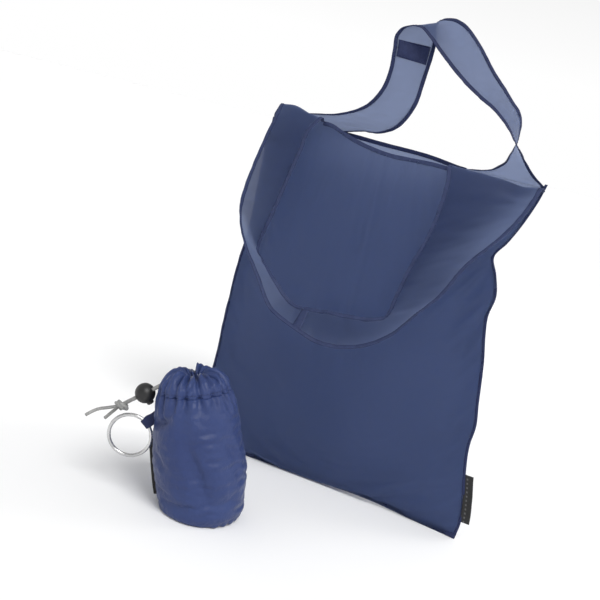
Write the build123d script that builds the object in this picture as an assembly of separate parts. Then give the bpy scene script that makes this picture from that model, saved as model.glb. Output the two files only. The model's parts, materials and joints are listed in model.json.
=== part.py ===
from build123d import *
import os
from math import cos, pi, radians, sin, tan

# Foldable tote bag with its drawcord storage pouch, in millimetres.
#
# The tote stands open on the floor. X runs to the right across the front panel, Y runs from
# front to back and Z is up. The origin is the middle of the tote's bottom seam, on the floor.
# The filled pouch stands to the front left and has a frame of its own: u to the right,
# v away and s up its leaning axis.

# ---------------------------------------------------------------- driving dimensions
TOTE_HEIGHT = 424.0          # floor to mouth, along the side seams
CLOTH = 1.0                  # thickness that stands for one hemmed layer of nylon
PANEL_GAP = 0.3              # half the space between the panels at a seam
SIDE_SEAM = 5.0              # width of the felled side seams
BOTTOM_SEAM = 6.0            # height of the felled bottom seam
HEM = 7.0                    # width of the bindings on rim and handles
HEM_THICK = 1.8
HINGE_GAP = 1.0              # space left where a handle folds over the mouth

FRONT_NECK = (-98.0, 70.0)   # the rim between the handle roots, left and right ends
BACK_NECK = (-84.0, 84.0)

# Height, left edge, right edge, line of the side seams, front and back crowns in y.
TOTE_SECTIONS = [
    (BOTTOM_SEAM, -175.0, 175.0, -13.0, -3.5, 3.5),
    (30.0, -175.5, 173.5, -11.0, -11.5, 10.0),
    (65.0, -176.0, 171.0, -8.0, -19.0, 17.0),
    (110.0, -175.5, 166.0, -5.0, -25.0, 23.0),
    (170.0, -175.0, 160.0, -2.0, -29.0, 28.0),
    (230.0, -175.0, 152.0, 0.0, -31.0, 30.0),
    (285.0, -174.0, 147.0, 0.0, -32.0, 30.0),
    (330.0, -174.0, 141.0, 0.0, -31.0, 29.0),
    (372.0, -174.0, 152.0, 0.0, -29.0, 28.0),
    (TOTE_HEIGHT - HINGE_GAP, -174.0, 172.0, 0.0, -27.0, 27.0),
]

# Each handle half is a row of places along the strap. Its outer edge, which runs from one side
# seam to the other, comes first in a place, and its inner edge, from neck to neck, second.
FRONT_LEFT_STRAP = [
    ((-171.0, -4.5, 423.0), (-99.0, -20.5, 423.0)),
    ((-167.0, -22.0, 388.0), (-110.0, -34.0, 388.0)),
    ((-172.0, -33.0, 350.0), (-119.0, -38.0, 350.0)),
    ((-174.0, -40.0, 325.0), (-126.0, -41.0, 316.0)),
    ((-168.0, -47.0, 302.0), (-134.0, -46.0, 270.0)),
    ((-146.0, -66.0, 278.0), (-121.0, -54.0, 260.0)),
    ((-116.0, -77.0, 242.0), (-100.0, -58.0, 243.0)),
    ((-81.0, -83.0, 208.0), (-68.0, -62.0, 224.0)),
    ((-54.0, -85.0, 197.0), (-54.0, -65.0, 222.0)),
]
FRONT_RIGHT_STRAP = [
    ((-54.0, -85.0, 197.0), (-54.0, -65.0, 222.0)),
    ((-20.0, -85.0, 190.0), (-22.0, -66.0, 226.0)),
    ((10.0, -84.0, 193.0), (5.0, -65.0, 229.0)),
    ((40.0, -80.0, 207.0), (27.0, -62.0, 232.0)),
    ((62.0, -75.0, 226.0), (38.0, -58.0, 235.0)),
    ((82.0, -68.0, 256.0), (43.0, -54.0, 240.0)),
    ((98.0, -58.0, 278.0), (46.0, -50.0, 266.0)),
    ((122.0, -51.0, 323.0), (54.0, -46.0, 305.0)),
    ((146.0, -40.0, 360.0), (63.0, -43.0, 340.0)),
    ((160.0, -24.0, 390.0), (68.0, -37.0, 380.0)),
    ((169.0, -4.5, 423.0), (71.0, -25.0, 423.0)),
]
# The standing handle curls over at its top, where its outer edge passes in front, and turns
# edge on above the right root.
BACK_LEFT_STRAP = [
    ((-171.0, 3.0, 425.0), (-85.0, 20.0, 425.0)),
    ((-132.0, 8.0, 436.0), (-62.0, 20.0, 428.0)),
    ((-96.0, 12.0, 444.0), (-40.0, 22.0, 432.0)),
    ((-66.0, 14.0, 460.0), (-20.0, 24.0, 446.0)),
    ((-50.0, 14.0, 484.0), (-7.0, 26.0, 474.0)),
    ((-46.0, 14.0, 508.0), (-5.0, 29.0, 503.0)),
    ((-47.0, 13.0, 531.0), (-4.0, 32.0, 529.0)),
]
BACK_RIGHT_STRAP = [
    ((-47.0, 13.0, 531.0), (-4.0, 32.0, 529.0)),
    ((-47.0, 12.0, 549.0), (-6.0, 38.0, 550.0)),
    ((-38.0, 11.0, 558.0), (-12.0, 45.0, 566.0)),
    ((-22.0, 11.0, 561.0), (-9.0, 47.0, 576.0)),
    ((-7.0, 11.0, 552.0), (6.0, 43.0, 580.0)),
    ((8.0, 11.0, 539.0), (22.0, 37.0, 576.0)),
    ((36.0, 10.0, 518.0), (48.0, 33.0, 556.0)),
    ((66.0, 10.0, 499.0), (72.0, 31.0, 531.0)),
    ((94.0, 9.0, 484.0), (98.0, 31.0, 506.0)),
    ((112.0, 6.0, 470.0), (115.0, 33.0, 486.0)),
    ((123.0, 3.0, 458.0), (117.0, 36.0, 462.0)),
    ((136.0, 3.0, 447.0), (110.0, 31.0, 446.0)),
    ((150.0, 3.0, 436.0), (98.0, 25.0, 434.0)),
    ((171.0, 3.0, 425.0), (85.0, 20.0, 425.0)),
]

TOTE_LABEL = (22.0, 77.0, 9.0, 1.2)      # bottom, top, width and thickness

POUCH_PLACE = (-64.0, -195.0)
POUCH_TURN = 21.0            # the pouch's u axis from +X, about +Z
POUCH_LEAN = 15.0            # the soft pouch leans to its left
POUCH_WALL = 1.5
# Outer radius of the filled pouch against the distance up its axis.
POUCH_PROFILE = [(38.0, -8.0), (44.0, 4.0), (47.2, 24.0), (48.2, 50.0), (47.6, 82.0),
                 (45.4, 110.0), (41.5, 130.0)]
CASING_PROFILE = [(37.6, 139.0), (34.6, 147.0), (29.5, 154.0), (25.5, 160.0)]
CASING_WALL = 7.5
CORD = 3.8                   # drawcord diameter
CORD_CHANNEL = (29.5, 147.0, 2.3)        # ring radius, height on the axis, channel radius

CORD_DROP = 40.0             # degrees below level that the taut strands point
STRAND_GAP = 2.2             # each strand's distance from the middle plane
BALL = 22.0                  # diameter of the ball cord lock
BALL_REACH = 27.0            # casing to ball centre, along the strands
KNOT_REACH = 57.0            # casing to knot centre, along the strands
PASSAGE = (9.2, 4.6)         # hole for the two strands: width and height
STEM_RADIUS = 6.2
KNOB_RADIUS = 3.9
PLUNGER_PLAY = 0.08          # running clearance round the plunger
PLUNGER_TRAVEL = 2.4

RING_RADIUS = 23.0           # of the wire's centre line
RING_WIRE = 4.0
RING_PLACE = (-94.0, 68.0)
RING_V = -3.0
TAB_ANGLE = 50.0             # where the tab holds the ring, from u
TAB_WIDTH = 11.0
GATE_ARC = (152.0, 232.0)    # latch end and pivot end
GATE_PIN = 0.7               # pin radius

POUCH_LABEL = (10.0, 84.0, 7.0, 1.0)     # bottom, top, width and thickness

SPACE = (400.0, 400.0, 400.0)            # a block larger than the pouch, to cut with


# ---------------------------------------------------------------- helpers
def loft_between(sections):
    """A solid with straight sides through a row of closed faces."""
    return loft(sections, ruled=True)


def quad(a, b, c, d):
    """A four-cornered face."""
    return make_face(Polyline(a, b, c, d, a))


def triangle(a, b, c):
    """A three-cornered face."""
    return make_face(Polyline(a, b, c, a))


def save(node, shape):
    shape.label = node
    export_step(shape, f"parts/{node}.step")


def strap_frame(places):
    """The thickness direction at each place along a strap."""
    middles = [(Vector(*outer) + Vector(*inner)) / 2 for outer, inner in places]
    directions = []
    for index, (outer, inner) in enumerate(places):
        before = middles[max(index - 1, 0)]
        after = middles[min(index + 1, len(places) - 1)]
        across = Vector(*inner) - Vector(*outer)
        directions.append(across.cross(after - before).normalized())
    return directions


def strap_band(places, first, last, thick):
    """The part of a strap between two fractions or margins of its width.

    first and last are distances from the outer edge, or from the inner edge if negative.
    """
    sections = []
    for (outer, inner), normal in zip(places, strap_frame(places)):
        start = Vector(*outer)
        across = Vector(*inner) - start
        width = across.length
        near = first if first >= 0 else width + first
        far = last if last > 0 else width + last
        low = start + across * (near / width)
        high = start + across * (far / width)
        half = normal * (thick / 2)
        sections.append((low - half, high - half, high + half, low + half))
    return faceted(sections)


def faceted(sections):
    """A solid with two flat triangles on each side of each run, through rows of four corners."""
    faces = [quad(*sections[0]), quad(*sections[-1])]
    for near, far in zip(sections, sections[1:]):
        for index in range(4):
            following = (index + 1) % 4
            corners = [near[index], near[following], far[following], far[index]]
            if index < 2:
                corners = corners[1:] + corners[:1]
            faces.append(triangle(corners[0], corners[1], corners[2]))
            faces.append(triangle(corners[0], corners[2], corners[3]))
    return Solid(Shell(faces))


# ---------------------------------------------------------------- tote
def panel_section(z, left, right, seam_y, crown, side):
    """A thin bowed face: side is -1 for the front panel and +1 for the back panel."""
    x0 = left + SIDE_SEAM
    x1 = right - SIDE_SEAM
    middle = (x0 + x1) / 2
    inside = seam_y + side * PANEL_GAP
    outside = inside + side * CLOTH
    outer = ThreePointArc((x0, outside, z), (middle, crown, z), (x1, outside, z))
    inner = ThreePointArc((x1, inside, z), (middle, crown - side * CLOTH, z), (x0, inside, z))
    ends = [Line(outer @ 1, inner @ 0), Line(inner @ 1, outer @ 0)]
    return make_face([outer, ends[0], inner, ends[1]])


def panel(side):
    crown_column = 4 if side < 0 else 5
    sections = []
    for row in TOTE_SECTIONS:
        z, left, right, seam_y = row[:4]
        sections.append(panel_section(z, left, right, seam_y, row[crown_column], side))
    return loft_between(sections)


def neck_box(neck, side):
    """The space that the rim binding takes between the handle roots."""
    left, right = neck
    depth = 60.0
    box = Box(right - left, depth, HEM, align=(Align.MIN, Align.CENTER, Align.MAX))
    return Pos(left, side * (depth / 2 + 6.0), TOTE_HEIGHT - HINGE_GAP) * box


def rim_binding(neck, side):
    """A doubled strip of cloth that follows the bowed top edge of a panel."""
    _, left, right, seam_y, front_crown, back_crown = TOTE_SECTIONS[-1]
    crown = front_crown if side < 0 else back_crown
    extra = (HEM_THICK - CLOTH) / 2
    x0 = left + SIDE_SEAM
    x1 = right - SIDE_SEAM
    middle = (x0 + x1) / 2
    inside = seam_y + side * (PANEL_GAP - extra)
    outside = seam_y + side * (PANEL_GAP + CLOTH + extra)
    top = TOTE_HEIGHT - HINGE_GAP
    outer = ThreePointArc((x0, outside, top), (middle, crown + side * extra, top), (x1, outside, top))
    inner_crown = crown - side * (CLOTH + extra)
    inner = ThreePointArc((x1, inside, top), (middle, inner_crown, top), (x0, inside, top))
    face = make_face([outer, Line(outer @ 1, inner @ 0), inner, Line(inner @ 1, outer @ 0)])
    return extrude(face, amount=-HEM, dir=(0, 0, 1)) & neck_box(neck, side)


def side_seam(side):
    """The felled seam up one side: side is -1 for the left and +1 for the right."""
    half = PANEL_GAP + CLOTH
    sections = []
    for z, left, right, seam_y, _, _ in TOTE_SECTIONS:
        edge = left if side < 0 else right
        inner = edge - side * SIDE_SEAM
        sections.append(quad((inner, seam_y - half, z), (edge, seam_y - half, z),
                             (edge, seam_y + half, z), (inner, seam_y + half, z)))
    return loft_between(sections)


def bottom_seam():
    """The felled bottom seam, bowed in plan so that the open bag stands."""
    _, left, right, seam_y, front_crown, back_crown = TOTE_SECTIONS[0]
    half = PANEL_GAP + CLOTH
    middle = (left + right) / 2
    front = ThreePointArc((left, seam_y - half, 0), (middle, front_crown, 0), (right, seam_y - half, 0))
    back = ThreePointArc((right, seam_y + half, 0), (middle, back_crown, 0), (left, seam_y + half, 0))
    face = make_face([front, Line(front @ 1, back @ 0), back, Line(back @ 1, front @ 0)])
    return extrude(face, amount=BOTTOM_SEAM, dir=(0, 0, 1))


def tote_label():
    """A woven strip folded in half, caught in the right side seam."""
    bottom, top, width, thick = TOTE_LABEL
    caught = 2.0
    low_row, high_row = TOTE_SECTIONS[1], TOTE_SECTIONS[2]
    sections = []
    for z in (bottom, top):
        share = (z - low_row[0]) / (high_row[0] - low_row[0])
        edge = low_row[2] + share * (high_row[2] - low_row[2])
        seam_y = low_row[3] + share * (high_row[3] - low_row[3])
        near, far = edge - caught, edge + width
        sections.append(quad((near, seam_y - thick / 2, z), (far, seam_y - thick / 2, z),
                             (far, seam_y + thick / 2, z), (near, seam_y + thick / 2, z)))
    return loft_between(sections) - side_seam(1)


def make_tote():
    front = panel(-1) - neck_box(FRONT_NECK, -1)
    back = panel(1) - neck_box(BACK_NECK, 1)
    save("front_panel", front)
    save("back_panel", back)
    save("front_rim_binding", rim_binding(FRONT_NECK, -1))
    save("back_rim_binding", rim_binding(BACK_NECK, 1))
    save("left_side_seam", side_seam(-1))
    save("right_side_seam", side_seam(1))
    save("bottom_seam", bottom_seam())
    save("tote_label", tote_label())


def make_handle(name, left_places, right_places):
    """Two cloth halves, the seam that joins them, and the bindings on both edges."""
    halves = {"left": left_places, "right": right_places}
    seam_reach = 5.0
    trimmed = {"left": shorten(left_places, seam_reach, at_end=True),
               "right": shorten(right_places, seam_reach, at_end=False)}
    outer = [strap_band(places, 0, HEM, HEM_THICK) for places in halves.values()]
    inner = [strap_band(places, -HEM, 0, HEM_THICK) for places in halves.values()]
    for side, places in trimmed.items():
        cloth = strap_band(places, HEM, -HEM, CLOTH)
        save(f"{name}_handle_{side}", cloth.cut(*outer, *inner))
    save(f"{name}_handle_outer_binding", Compound(children=outer))
    save(f"{name}_handle_inner_binding", Compound(children=inner))
    seam_places = [trimmed["left"][-1], left_places[-1], trimmed["right"][0]]
    seam = strap_band(seam_places, HEM, -HEM, HEM_THICK)
    save(f"{name}_handle_joint_seam", seam.cut(*outer, *inner))


def shorten(places, reach, at_end):
    """The same strap with one end drawn back along its first run."""
    rows = list(places)
    tip, beside = (rows[-1], rows[-2]) if at_end else (rows[0], rows[1])
    ends = []
    for tip_point, beside_point in zip(tip, beside):
        run = Vector(*beside_point) - Vector(*tip_point)
        ends.append(tuple(Vector(*tip_point) + run.normalized() * reach))
    rows[-1 if at_end else 0] = tuple(ends)
    return rows


# ---------------------------------------------------------------- pouch
def placed(shape):
    """From the pouch's upright frame to the tote's frame."""
    return Pos(POUCH_PLACE[0], POUCH_PLACE[1], 0) * Rot(0, 0, POUCH_TURN) * shape


def leaned(shape):
    """From the pouch's leaning axis to its upright frame."""
    return Rot(0, -POUCH_LEAN, 0) * shape


def pouch_outline(inset):
    """The pouch's profile up to the casing, and a little past it in the same slope."""
    last, before = CASING_PROFILE[0], POUCH_PROFILE[-1]
    slope = (last[0] - before[0]) / (last[1] - before[1])
    extra = 5.0
    points = POUCH_PROFILE + [last, (last[0] + slope * extra, last[1] + extra)]
    return [(radius - inset, height) for radius, height in points]


def turned(profile):
    """A closed body of revolution with flat ends."""
    bottom = (0, profile[0][1])
    top = (0, profile[-1][1])
    edges = [Line(bottom, profile[0]), Spline(*profile), Line(profile[-1], top), Line(top, bottom)]
    return revolve(Plane.XZ * make_face(edges), axis=Axis.Z)


def below(shape, height):
    """The part of a shape under a height on the axis."""
    keep = Box(*SPACE, align=(Align.CENTER, Align.CENTER, Align.MAX))
    return shape & (Pos(0, 0, height) * keep)


def above(shape, height):
    keep = Box(*SPACE, align=(Align.CENTER, Align.CENTER, Align.MIN))
    return shape & (Pos(0, 0, height) * keep)


def pouch_solid():
    """The filled pouch as one body in its upright frame, flat where it stands."""
    body = below(turned(pouch_outline(0)), CASING_PROFILE[0][1])
    return above(leaned(body), 0)


def make_pouch_body():
    slack = 0.6
    outer = pouch_solid()
    room = above(leaned(turned(pouch_outline(POUCH_WALL))), POUCH_WALL)
    shell = above(outer, POUCH_WALL) - room
    base = below(outer, POUCH_WALL)
    filling = above(leaned(turned(pouch_outline(POUCH_WALL + slack))), POUCH_WALL + slack)
    filling = filling - leaned(casing_ring(slack))
    save("pouch_base", placed(base))
    save("pouch_shell", placed(shell))
    save("folded_tote_filling", placed(filling))


def casing_ring(grow):
    """The gathered hem that the drawcord runs in, before its channel is cut."""
    outer = [(radius + grow, height) for radius, height in CASING_PROFILE]
    inner = [(radius - CASING_WALL - grow, height) for radius, height in CASING_PROFILE]
    outer[0] = (outer[0][0], outer[0][1] - grow)
    inner[0] = (inner[0][0], inner[0][1] - grow)
    inner.reverse()
    edges = [Spline(*outer), Line(outer[-1], inner[0]), Spline(*inner), Line(inner[-1], outer[0])]
    return revolve(Plane.XZ * make_face(edges), axis=Axis.Z)


def strand_direction():
    drop = radians(CORD_DROP)
    return Vector(-cos(drop), 0, -sin(drop))


def strand_point(reach):
    """A point between the taut strands, this far from the left of the cord channel."""
    ring, height, _ = CORD_CHANNEL
    lean = radians(POUCH_LEAN)
    start = Vector(-ring * cos(lean) - height * sin(lean), 0, -ring * sin(lean) + height * cos(lean))
    return start + strand_direction() * reach


def along_strands(shape, reach):
    """Place a shape whose own Z runs down the strands and whose X runs across them."""
    return Plane(origin=strand_point(reach), x_dir=(0, 1, 0), z_dir=strand_direction()) * shape


def make_casing():
    ring, height, channel = CORD_CHANNEL
    outlet_length = 26.0
    outlet = along_strands(Box(*PASSAGE, outlet_length), 0)
    tunnel = Pos(0, 0, height) * Torus(ring, channel)
    save("drawcord_casing", placed(leaned(casing_ring(0) - tunnel) - outlet))
    outlet_half_angle = 22.0
    section = Plane.XZ * Pos(ring, height) * Circle(CORD / 2)
    loop = revolve(section, axis=Axis.Z, revolution_arc=360 - 2 * outlet_half_angle)
    save("drawcord_loop", placed(leaned(Rot(0, 0, 180 + outlet_half_angle) * loop)))


def strand_routes():
    """Both strands, from the casing through the ball and the knot to their cut ends."""
    start = strand_point(0)
    knot = strand_point(KNOT_REACH)
    near = Vector(0, -STRAND_GAP, 0)
    far = Vector(0, STRAND_GAP, 0)
    long_route = [start + near, knot + near,
                  knot + Vector(-13.0, -4.0, -5.0),
                  knot + Vector(-24.5, -7.0, -8.0),
                  knot + Vector(-34.0, -9.0, -17.0)]
    short_route = [start + far, knot + far,
                   knot + Vector(-8.0, 3.4, -10.5),
                   knot + Vector(-15.5, 4.0, -20.5)]
    return {"drawcord_strand_long": long_route, "drawcord_strand_short": short_route}


def corner_radii(points):
    """The largest bend radius that each corner of a route allows."""
    radii = []
    for before, corner, after in zip(points, points[1:], points[2:]):
        first = corner - before
        second = after - corner
        turn = radians(first.get_angle(second))
        radii.append(0.45 * min(first.length, second.length) / tan(turn / 2))
    return radii


def cord_tube(node, points):
    """Straight runs joined by tangent arcs, as one round tube."""
    radii = corner_radii(points)
    path = FilletPolyline(*points, radius=radii)
    start = Plane(origin=path @ 0, z_dir=path % 0)
    tube = sweep(start * Circle(CORD / 2), path=path)
    expected = path.length * pi * (CORD / 2) ** 2
    print(node, "length", round(path.length, 2), "radii", [round(r, 1) for r in radii],
          "volume ratio", round(tube.volume / expected, 4))
    return tube


def make_cord():
    for node, points in strand_routes().items():
        save(node, placed(cord_tube(node, points)))
    core, collar, spread = 6.6, 2.5, 3.4
    turns = [Pos(0, 0, offset) * Torus(core - collar / 2, collar) for offset in (-spread, spread)]
    save("cord_knot", placed(along_strands(Sphere(core) + turns[0] + turns[1], KNOT_REACH)))


def plunger_plane():
    """The plunger's axis: out of the ball to the lower right, square to the strands."""
    drop = radians(CORD_DROP)
    outward = Vector(sin(drop), 0, -cos(drop))
    return Plane(origin=strand_point(BALL_REACH), x_dir=strand_direction(), z_dir=outward)


def rod(radius, low, high):
    """A cylinder on its own Z between two heights."""
    return Pos(0, 0, low) * Cylinder(radius, high - low, align=(Align.CENTER, Align.CENTER, Align.MIN))


def make_cord_lock():
    frame = plunger_plane()
    width, height = PASSAGE
    stem_low, stem_high = -3.9, 7.0
    knob_high = 13.2
    pocket_low, pocket_radius = -9.4, 3.2
    end_play, shoulder_play = 0.2, 0.1
    bore_low = stem_low - PLUNGER_TRAVEL - end_play

    bore = rod(STEM_RADIUS + PLUNGER_PLAY, bore_low, stem_high + shoulder_play)
    mouth = rod(KNOB_RADIUS + PLUNGER_PLAY, stem_high, BALL)
    pocket = rod(pocket_radius, pocket_low, bore_low)
    passage = Box(2 * BALL, width, height)
    shell = Sphere(BALL / 2) - bore - mouth - pocket - passage
    save("cord_lock_shell", placed(frame * shell))

    knob = rod(KNOB_RADIUS, stem_high, knob_high)
    knob_rounding = 1.6
    knob = fillet(knob.edges().sort_by(Axis.Z)[-1], knob_rounding)
    window = Pos(0, 0, PLUNGER_TRAVEL / 2) * Box(BALL, width, height + PLUNGER_TRAVEL)
    plunger = rod(STEM_RADIUS, stem_low, stem_high) + knob - window
    save("cord_lock_plunger", placed(frame * plunger))

    wire, coil, turns = 0.4, 2.4, 3
    reach = stem_low - pocket_low - 2 * wire
    helix = Helix(pitch=reach / turns, height=reach, radius=coil)
    spring = sweep(Plane(origin=helix @ 0, z_dir=helix % 0) * Circle(wire), path=helix, is_frenet=True)
    save("cord_lock_spring", placed(frame * Pos(0, 0, pocket_low + wire) * spring))


# ---------------------------------------------------------------- key ring
def ring_plane():
    """The ring's own plane: X across, Y up and Z towards the front."""
    return Plane(origin=(RING_PLACE[0], RING_V, RING_PLACE[1]), x_dir=(1, 0, 0), z_dir=(0, -1, 0))


def ring_point(angle):
    return Vector(RING_RADIUS * cos(radians(angle)), RING_RADIUS * sin(radians(angle)), 0)


def wire_arc(start, end):
    """The ring's round wire between two angles."""
    section = Plane.XZ * Pos(RING_RADIUS, 0) * Circle(RING_WIRE / 2)
    return Rot(0, 0, start) * revolve(section, axis=Axis.Z, revolution_arc=end - start)


def latch_space(ring_side):
    """A block that ends at the slanted latch face, on the ring's or the gate's side."""
    pivot = ring_point(GATE_ARC[1])
    latch = ring_point(GATE_ARC[0])
    gap = 0.15
    size = 12.0
    align = (Align.CENTER, Align.CENTER, Align.MIN if ring_side else Align.MAX)
    offset = -gap if ring_side else gap
    return Plane(origin=latch, z_dir=latch - pivot) * Pos(0, 0, offset) * Box(size, size, size, align=align)


def make_key_ring():
    latch_angle, pivot_angle = GATE_ARC
    slant = 6.0
    fork_reach, fork_length = 5.0, 5.2
    fork_gap, tongue = 1.8, 1.4
    pin_play, pin_inset = 0.05, 0.3
    pivot = ring_point(pivot_angle)
    pin_hole = Pos(pivot) * Cylinder(GATE_PIN, 2 * RING_WIRE)
    running_hole = Pos(pivot) * Cylinder(GATE_PIN + pin_play, 2 * RING_WIRE)

    ring = wire_arc(pivot_angle - fork_reach, 360 + latch_angle + slant)
    slot = Rot(0, 0, pivot_angle) * Pos(RING_RADIUS, 0) * Box(2 * RING_WIRE, fork_length, fork_gap)
    ring = ring - latch_space(False) - slot - pin_hole
    save("key_ring", placed(ring_plane() * ring))

    eye_radius = 1.9
    shoulder_gap, web_overlap = 1.6, 1.0
    shoulder = pivot_angle - fork_reach - shoulder_gap
    eye = Pos(pivot) * Cylinder(eye_radius, tongue)
    web = wire_arc(shoulder - web_overlap, pivot_angle) & Box(SPACE[0], SPACE[1], tongue)
    gate = wire_arc(latch_angle - slant, shoulder) - latch_space(True)
    gate = gate + web + eye - running_hole
    save("ring_gate", placed(ring_plane() * gate))

    pin = Pos(pivot) * Cylinder(GATE_PIN, RING_WIRE - 2 * pin_inset)
    save("gate_pin", placed(ring_plane() * pin))


def make_tab():
    """A folded strip of pouch cloth that loops round the ring's wire."""
    inner, layer = 3.0, 1.0
    outer = inner + layer
    neck, root, seam = 9.0, 13.5, 0.05
    half = layer + seam
    pinch = neck - layer / 2
    centre = ring_point(TAB_ANGLE)
    outline = Polyline((0, outer), (neck, half), (root, half), (root, -half), (neck, -half),
                       (0, -outer), (0, outer))
    hollow = Polyline((0, inner), (pinch, seam), (pinch, -seam), (0, -inner), (0, inner))
    outside = Circle(outer) + make_face(outline)
    inside = Circle(inner) + make_face(hollow)
    section = outside - inside
    toward_pouch = centre.normalized()
    along_wire = Vector(0, 0, 1).cross(toward_pouch)
    frame = Plane(origin=centre, x_dir=toward_pouch, z_dir=along_wire)
    tab = frame * extrude(section, amount=TAB_WIDTH / 2, both=True)
    save("key_loop_tab", placed(ring_plane() * tab - pouch_solid()))


def make_pouch_label():
    """A woven strip folded in half, caught in the pouch's left side seam."""
    bottom, top, width, thick = POUCH_LABEL
    behind = 6.0
    caught = 2.0
    lift = 12.0                  # the low end's height above the label's bottom, where the pouch leans
    middle_rows = [(radius, height) for radius, height in POUCH_PROFILE if bottom + lift < height < top]
    low_radius, high_radius = 47.2, 45.8
    rows = [(low_radius, bottom + lift)] + middle_rows[1:] + [(high_radius, top + lift)]
    outer = [(-radius - width, height) for radius, height in rows]
    inner = [(-radius + caught, height) for radius, height in rows]
    inner.reverse()
    face = Plane.XZ * make_face(Polyline(*outer, *inner, outer[0]))
    strip = Pos(0, behind, 0) * extrude(face, amount=thick / 2, both=True)
    save("pouch_label", placed(leaned(strip) - pouch_solid()))


# ---------------------------------------------------------------- build
os.makedirs("parts", exist_ok=True)
make_tote()
make_handle("front", FRONT_LEFT_STRAP, FRONT_RIGHT_STRAP)
make_handle("back", BACK_LEFT_STRAP, BACK_RIGHT_STRAP)
make_pouch_body()
make_casing()
make_cord()
make_cord_lock()
make_key_ring()
make_tab()
make_pouch_label()
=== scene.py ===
import json
import math

import bpy
import numpy as np
from mathutils import Matrix, Vector

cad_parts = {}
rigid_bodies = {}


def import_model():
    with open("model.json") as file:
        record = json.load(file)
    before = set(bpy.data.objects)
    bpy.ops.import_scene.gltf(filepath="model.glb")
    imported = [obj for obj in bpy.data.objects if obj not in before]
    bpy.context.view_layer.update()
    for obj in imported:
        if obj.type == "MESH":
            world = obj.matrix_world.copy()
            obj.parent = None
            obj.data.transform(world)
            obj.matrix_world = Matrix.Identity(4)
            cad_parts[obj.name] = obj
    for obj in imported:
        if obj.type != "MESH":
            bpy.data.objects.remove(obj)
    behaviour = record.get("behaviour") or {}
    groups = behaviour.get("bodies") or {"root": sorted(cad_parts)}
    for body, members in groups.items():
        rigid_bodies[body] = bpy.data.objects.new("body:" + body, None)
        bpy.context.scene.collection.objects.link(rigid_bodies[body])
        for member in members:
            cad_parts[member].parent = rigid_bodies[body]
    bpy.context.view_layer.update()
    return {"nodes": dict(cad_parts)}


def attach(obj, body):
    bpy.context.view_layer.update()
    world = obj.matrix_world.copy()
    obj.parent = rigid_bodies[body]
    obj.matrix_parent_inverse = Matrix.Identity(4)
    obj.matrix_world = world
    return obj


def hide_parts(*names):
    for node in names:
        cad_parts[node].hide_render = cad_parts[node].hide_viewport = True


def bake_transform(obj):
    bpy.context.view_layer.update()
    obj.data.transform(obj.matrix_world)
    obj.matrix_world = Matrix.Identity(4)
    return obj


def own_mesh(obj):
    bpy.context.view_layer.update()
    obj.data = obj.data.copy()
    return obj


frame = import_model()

# The tote's front faces -Y and its bottom seam's middle is the origin. Lengths are in metres.
MM = 0.001

# ---------------------------------------------------------------- driving sizes
CLOTH = 0.0004               # thickness of one layer of nylon
HEM = 0.0048                 # width of the bindings
HEM_THICK = 0.0012
HEM_STITCHES = HEM - 0.0013  # how far the stitches are from the hem's edge
SEAM_WIDTH = 0.0034
SEAM_THICK = 0.0018
SEAM_STITCHES = SEAM_WIDTH - 0.0011
BOTTOM_WIDTH = 0.0062        # of the bottom seam, which is broader than the side seams
BOTTOM_THICK = 0.0030
TOTE_HEIGHT = 0.424
LABEL_TAPE = 0.0011          # thickness of the tote's label
STITCH = 0.0030              # length of one stitch
STITCH_GAP = 0.0008
THREAD = 0.00042             # sewing thread diameter

POUCH_PLACE = (-0.064, -0.195)
POUCH_TURN = math.radians(21.0)
POUCH_LEAN = math.radians(15.0)
CORD = 0.0038
CORD_DROP = math.radians(40.0)
STRAND_GAP = 0.0022
CHANNEL_RADIUS = 0.0295      # of the cord channel in the pouch's gathered hem
CHANNEL_HEIGHT = 0.147
BALL_REACH = 0.027           # casing to the cord lock's centre, along the strands
KNOT_REACH = 0.057
RING_RADIUS = 0.023          # of the key ring's wire
RING_PLACE = (-0.094, 0.068)
RING_V = -0.003
TAB_ANGLE = math.radians(50.0)


# ---------------------------------------------------------------- curves
def knots_of(points):
    """Distances along a row of points."""
    steps = np.linalg.norm(np.diff(points, axis=0), axis=1)
    return np.concatenate([[0.0], np.cumsum(steps)])


def smooth(points, knots, at):
    """Places on the smooth curve that passes each point at its knot."""
    points = np.asarray(points, float)
    slopes = np.gradient(points, knots, axis=0)
    low = np.clip(np.searchsorted(knots, at, side="right") - 1, 0, len(knots) - 2)
    span = knots[low + 1] - knots[low]
    t = (at - knots[low]) / span
    if points.ndim > 1:
        t = t[:, None]
        span = span[:, None]
    near = points[low] * (2 * t**3 - 3 * t**2 + 1) + slopes[low] * span * (t**3 - 2 * t**2 + t)
    far = points[low + 1] * (3 * t**2 - 2 * t**3) + slopes[low + 1] * span * (t**3 - t**2)
    return near + far


def evenly(points, step):
    """The same curve as places a step apart."""
    points = np.asarray(points, float)
    knots = knots_of(points)
    at = np.linspace(0, knots[-1], max(3, int(round(knots[-1] / step)) + 1))
    return np.stack([np.interp(at, knots, points[:, i]) for i in range(3)], 1)


def unit(rows):
    return rows / np.maximum(np.linalg.norm(rows, axis=-1, keepdims=True), 1e-12)


def ripple(seed, waves, low, high):
    """A smooth seeded function of two lengths, about 1 high, with wavelengths from low to high."""
    draw = np.random.default_rng(seed)
    angle = draw.uniform(0, 2 * np.pi, waves)
    turn = 2 * np.pi / draw.uniform(low, high, waves)
    phase = draw.uniform(0, 2 * np.pi, waves)

    def height(a, b):
        total = 0
        for k in range(waves):
            total = total + np.sin(turn[k] * (a * math.cos(angle[k]) + b * math.sin(angle[k])) + phase[k])
        return total / math.sqrt(waves)

    return height


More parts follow.
